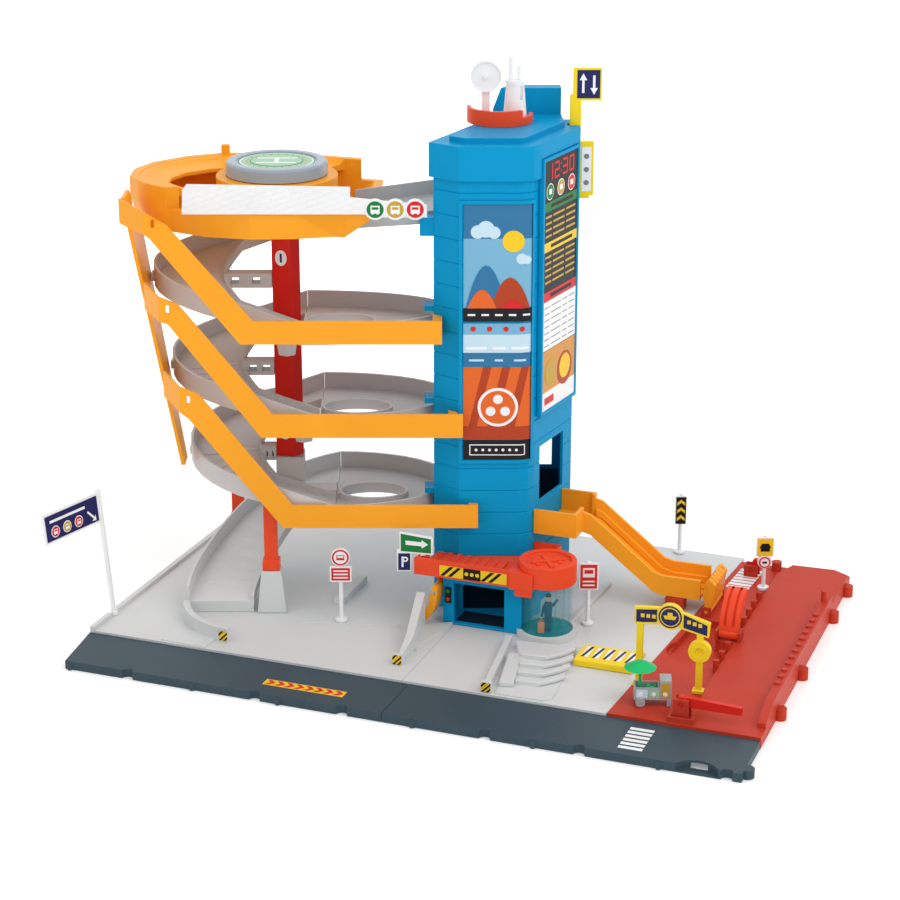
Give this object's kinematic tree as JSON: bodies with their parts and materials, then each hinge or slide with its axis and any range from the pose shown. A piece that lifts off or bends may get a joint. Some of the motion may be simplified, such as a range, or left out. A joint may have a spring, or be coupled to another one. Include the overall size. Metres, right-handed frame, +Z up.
{
  "type": "toy parking garage",
  "caption": "Toy parking garage with a hand-worked lift tower, a spiral car track, a top deck with a turning pad, a slide, barriers and a dock.",
  "frame": {"origin": "middle of the base on the surface that the garage stands on", "axes": "+X along the front edge to the dock side, +Y from the front edge to the back, +Z up"},
  "size_m": [0.5409, 0.366, 0.4205],
  "materials": {
    "cool_grey": "satin",
    "slate": "satin",
    "pier_red": "satin",
    "tower_blue": "satin, slightly glossy",
    "orange": "satin",
    "yellow": "satin",
    "track_grey": "satin",
    "red": "satin",
    "coral": "satin",
    "white": "satin",
    "silver": "satin",
    "bridge_grey": "satin",
    "green": "satin",
    "clear_teal": "clear, glossy",
    "teal": "satin",
    "cart_grey": "satin"
  },
  "bodies": {
    "garage": {"base_left": "cool_grey", "base_right": "cool_grey", "front_pedestal": "cool_grey", "rear_pedestal": "cool_grey", "exit_ramp": "cool_grey", "road_left": "slate", "road_right": "slate", "pier": "pier_red", "slide_support": "pier_red", "tower_front": "tower_blue", "tower_back": "tower_blue", "tower_cap": "tower_blue", "door_frame": "tower_blue", "poster_frame": "tower_blue", "board_frame": "tower_blue", "side_fin": "orange", "arm_low": "orange", "arm_middle": "orange", "arm_top": "orange", "top_deck": "orange", "slide_chute": "orange", "hump_plate": "yellow", "arch": "yellow", "platform_1": "track_grey", "platform_2": "track_grey", "platform_3": "track_grey", "ramp_1": "track_grey", "ramp_2": "track_grey", "ramp_3": "track_grey", "core_column": "red", "entrance_canopy": "coral", "booth_roof": "coral", "crescent_base": "coral", "front_leg": "coral", "rear_leg": "coral", "control_tower": "white", "parapet": "white", "bus_sign": "white", "red_sign": "white", "chevron_sign": "white", "dock_sign": "white", "left_sign": "white", "parking_sign": "white", "bridge": "bridge_grey", "booth_glass": "clear_teal", "booth_floor": "teal"},
    "lift": {"lift_platform": "bridge_grey", "lift_handle": "yellow"},
    "radar": {"radar_mast": "white", "radar_dish": "white"},
    "helipad_disc": {"helipad": "silver"},
    "front_gate": {"front_barrier": "red"},
    "rear_gate": {"rear_barrier": "red"},
    "lever": {"boat_lever": "coral"},
    "claw": {"claw_gate": "orange"},
    "scoop": {"door_scoop": "orange"},
    "cart": {"cart_body": "cart_grey", "umbrella": "green"},
    "wheels": {"cart_wheels": "cart_grey"}
  },
  "joints": [
    {"name": "lift_slide", "type": "slide", "parent": "garage", "child": "lift", "axis": [0, 0, 1], "range_m": [-0.297, 0]},
    {"name": "radar_spin", "type": "hinge", "parent": "garage", "child": "radar", "pos_m": [-0.01562, 0.07135, 0.375], "axis": [0, 0, 1], "continuous": true},
    {"name": "helipad_spin", "type": "hinge", "parent": "garage", "child": "helipad_disc", "pos_m": [-0.16224, 0.01945, 0.333], "axis": [0, 0, 1], "continuous": true},
    {"name": "front_barrier_lift", "type": "hinge", "parent": "garage", "child": "front_gate", "pos_m": [0.1975, -0.1165, 0.02], "axis": [0, -1, 0], "range_deg": [0, 80]},
    {"name": "rear_barrier_tilt", "type": "hinge", "parent": "garage", "child": "rear_gate", "pos_m": [0.1825, 0.1495, 0.0145], "axis": [0, -1, 0], "range_deg": [0, 80]},
    {"name": "lever_tilt", "type": "hinge", "parent": "garage", "child": "lever", "pos_m": [0.198, 0.013, 0.017], "axis": [1, 0, 0], "range_deg": [0, 55]},
    {"name": "claw_tilt", "type": "hinge", "parent": "garage", "child": "claw", "pos_m": [0.1695, 0.0765, 0.0125], "axis": [0, 1, 0], "range_deg": [0, 75]},
    {"name": "scoop_swing", "type": "hinge", "parent": "garage", "child": "scoop", "pos_m": [-0.0167, -0.027, 0.0395], "axis": [0, 1, 0], "range_deg": [0, 25]},
    {"name": "cart_lift_off", "type": "slide", "parent": "garage", "child": "cart", "axis": [0, 0, 1], "range_m": [0, 0.05]},
    {"name": "wheels_roll", "type": "hinge", "parent": "cart", "child": "wheels", "pos_m": [0.16392, -0.10463, 0.0122], "axis": [-0.309, 0.9511, 0], "continuous": true}
  ]
}
